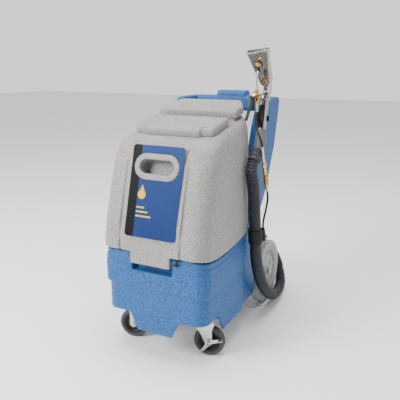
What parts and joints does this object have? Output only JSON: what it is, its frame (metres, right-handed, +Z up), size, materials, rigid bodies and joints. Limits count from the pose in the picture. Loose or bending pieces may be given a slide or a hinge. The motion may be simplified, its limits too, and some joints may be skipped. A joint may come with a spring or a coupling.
{
  "type": "carpet cleaner machine",
  "caption": "Upright box carpet extractor with a solution base, lift-off recovery tank with hinged lids, rear handle, swivelling casters and an upholstery hand tool on its hose.",
  "frame": {"origin": "on the floor, below the centre of the box round the machine and its hand tool, hoses left out", "axes": "+Z up, front towards -Y, the machine's right-hand side (with the hose) towards +X; the machine's middle plane is at X = -31 mm"},
  "size_m": [0.5424, 0.9576, 1.202],
  "materials": {
    "blue_shell": "speckled rotomoulded polyethylene, satin",
    "grey_shell": "speckled rotomoulded polyethylene, satin",
    "label": "printed adhesive film, semi-gloss",
    "black_plastic": "moulded, fine grain",
    "red_plastic": "moulded, smooth",
    "white_plastic": "moulded, smooth",
    "wheel_plastic": "moulded, light grey",
    "caster_rubber": "grey rubber tread",
    "grip_rubber": "matt black",
    "hose": "corrugated, satin charcoal",
    "cuff": "moulded soft cuff, satin grey",
    "hose_black": "smooth black jacket",
    "zinc": "bright zinc plate",
    "chrome": "polished",
    "brass": "machined brass",
    "motor_metal": "cast and pressed, dull"
  },
  "bodies": {
    "base": {"base_housing": "blue_shell", "chassis_pan": "zinc", "solution_tank": "blue_shell", "vacuum_motor_left": "motor_metal", "vacuum_motor_right": "motor_metal", "pump_motor": "motor_metal", "pump_head": "brass", "vacuum_inlet": "black_plastic", "solution_outlet": "brass", "power_inlet": "black_plastic", "drain_valve": "brass", "filter_housing": "white_plastic", "handle_frame": "blue_shell", "switch_panel": "black_plastic", "pressure_gauge": "chrome", "rear_axle": "zinc", "axle_clip_left": "zinc", "axle_clip_right": "zinc", "caster_left_plate": "zinc", "caster_right_plate": "zinc", "tool_head": "chrome", "tool_tube": "chrome", "tool_grip": "grip_rubber", "tool_valve": "brass", "spray_jet": "brass", "tool_holder": "black_plastic", "vacuum_hose": "hose", "hose_cuff": "cuff", "hose_strap": "grip_rubber", "solution_hose": "hose_black", "whip_hose": "hose_black", "quick_coupling": "brass"},
    "tank": {"recovery_tank": "grey_shell", "label_panel": "label", "standpipe": "white_plastic", "front_hinge_pin": "zinc", "rear_hinge_pin": "zinc"},
    "front_lid": {"front_lid": "grey_shell"},
    "rear_lid": {"rear_lid": "grey_shell"},
    "float": {"float_ring": "black_plastic"},
    "latch": {"tank_latch": "chrome"},
    "left_wheel": {"wheel_rim_left": "wheel_plastic", "wheel_tyre_left": "wheel_plastic"},
    "right_wheel": {"wheel_rim_right": "wheel_plastic", "wheel_tyre_right": "wheel_plastic"},
    "left_fork": {"caster_left_fork": "zinc"},
    "right_fork": {"caster_right_fork": "zinc"},
    "left_caster_wheel": {"caster_left_core": "black_plastic", "caster_left_tyre": "caster_rubber"},
    "right_caster_wheel": {"caster_right_core": "black_plastic", "caster_right_tyre": "caster_rubber"},
    "left_brake": {"caster_left_pedal": "zinc"},
    "right_brake": {"caster_right_pedal": "zinc"},
    "trigger": {"tool_trigger": "black_plastic"},
    "drain_lever": {"drain_lever": "red_plastic"},
    "filter_cap": {"filter_cap": "black_plastic"},
    "pump_switch": {"pump_switch": "red_plastic"},
    "left_vacuum_switch": {"left_vacuum_switch": "black_plastic"},
    "right_vacuum_switch": {"right_vacuum_switch": "black_plastic"},
    "pressure_knob": {"pressure_knob": "black_plastic"}
  },
  "joints": [
    {"name": "tank_lift", "type": "slide", "parent": "base", "child": "tank", "axis": [0, 0, 1], "range_m": [0, 0.15]},
    {"name": "front_lid_hinge", "type": "hinge", "parent": "tank", "child": "front_lid", "pos_m": [-0.031, -0.095, 0.9206], "axis": [-1, 0, 0], "range_deg": [0, 105]},
    {"name": "rear_lid_hinge", "type": "hinge", "parent": "tank", "child": "rear_lid", "pos_m": [-0.031, 0.107, 0.974], "axis": [-1, 0, 0], "range_deg": [0, 100]},
    {"name": "float_rise", "type": "slide", "parent": "tank", "child": "float", "axis": [0, 0, 1], "range_m": [0, 0.11]},
    {"name": "latch_swing", "type": "hinge", "parent": "base", "child": "latch", "pos_m": [0.079, -0.4384, 0.424], "axis": [1, 0, 0], "range_deg": [0, 80]},
    {"name": "left_wheel_spin", "type": "hinge", "parent": "base", "child": "left_wheel", "pos_m": [-0.226, 0.295, 0.1524], "axis": [1, 0, 0], "continuous": true},
    {"name": "right_wheel_spin", "type": "hinge", "parent": "base", "child": "right_wheel", "pos_m": [0.164, 0.295, 0.1524], "axis": [1, 0, 0], "continuous": true},
    {"name": "left_caster_swivel", "type": "hinge", "parent": "base", "child": "left_fork", "pos_m": [-0.1855, -0.291, 0.152], "axis": [0, 0, 1], "continuous": true},
    {"name": "right_caster_swivel", "type": "hinge", "parent": "base", "child": "right_fork", "pos_m": [0.1235, -0.291, 0.152], "axis": [0, 0, 1], "continuous": true},
    {"name": "left_caster_spin", "type": "hinge", "parent": "left_fork", "child": "left_caster_wheel", "pos_m": [-0.207, -0.29569, 0.0635], "axis": [0.213, -0.977, 0], "continuous": true},
    {"name": "right_caster_spin", "type": "hinge", "parent": "right_fork", "child": "right_caster_wheel", "pos_m": [0.145, -0.28631, 0.0635], "axis": [-0.213, 0.977, 0], "continuous": true},
    {"name": "left_brake_pedal", "type": "hinge", "parent": "left_fork", "child": "left_brake", "pos_m": [-0.207, -0.29569, 0.0635], "axis": [0.213, -0.977, 0], "range_deg": [0, 16]},
    {"name": "right_brake_pedal", "type": "hinge", "parent": "right_fork", "child": "right_brake", "pos_m": [0.145, -0.28631, 0.0635], "axis": [-0.213, 0.977, 0], "range_deg": [0, 16]},
    {"name": "trigger_squeeze", "type": "hinge", "parent": "base", "child": "trigger", "pos_m": [0.204, -0.033, 1.012], "axis": [1, 0, 0], "range_deg": [0, 18], "stiffness_Nm_per_rad": 0.4, "springref_deg": -11.46},
    {"name": "drain_lever_turn", "type": "hinge", "parent": "base", "child": "drain_lever", "pos_m": [-0.091, 0.3544, 0.199], "axis": [0, 0, 1], "range_deg": [0, 90]},
    {"name": "filter_cap_turn", "type": "hinge", "parent": "base", "child": "filter_cap", "pos_m": [-0.011, 0.36, 0.18], "axis": [0, 1, 0], "range_deg": [0, 90]},
    {"name": "pump_switch_rock", "type": "hinge", "parent": "base", "child": "pump_switch", "pos_m": [-0.101, 0.162, 0.425], "axis": [-1, 0, 0], "range_deg": [0, 12]},
    {"name": "left_vacuum_switch_rock", "type": "hinge", "parent": "base", "child": "left_vacuum_switch", "pos_m": [-0.061, 0.162, 0.425], "axis": [-1, 0, 0], "range_deg": [0, 12]},
    {"name": "right_vacuum_switch_rock", "type": "hinge", "parent": "base", "child": "right_vacuum_switch", "pos_m": [-0.021, 0.162, 0.425], "axis": [-1, 0, 0], "range_deg": [0, 12]},
    {"name": "pressure_knob_turn", "type": "hinge", "parent": "base", "child": "pressure_knob", "pos_m": [0.049, 0.175, 0.393], "axis": [0, 1, 0], "range_deg": [0, 270]}
  ]
}
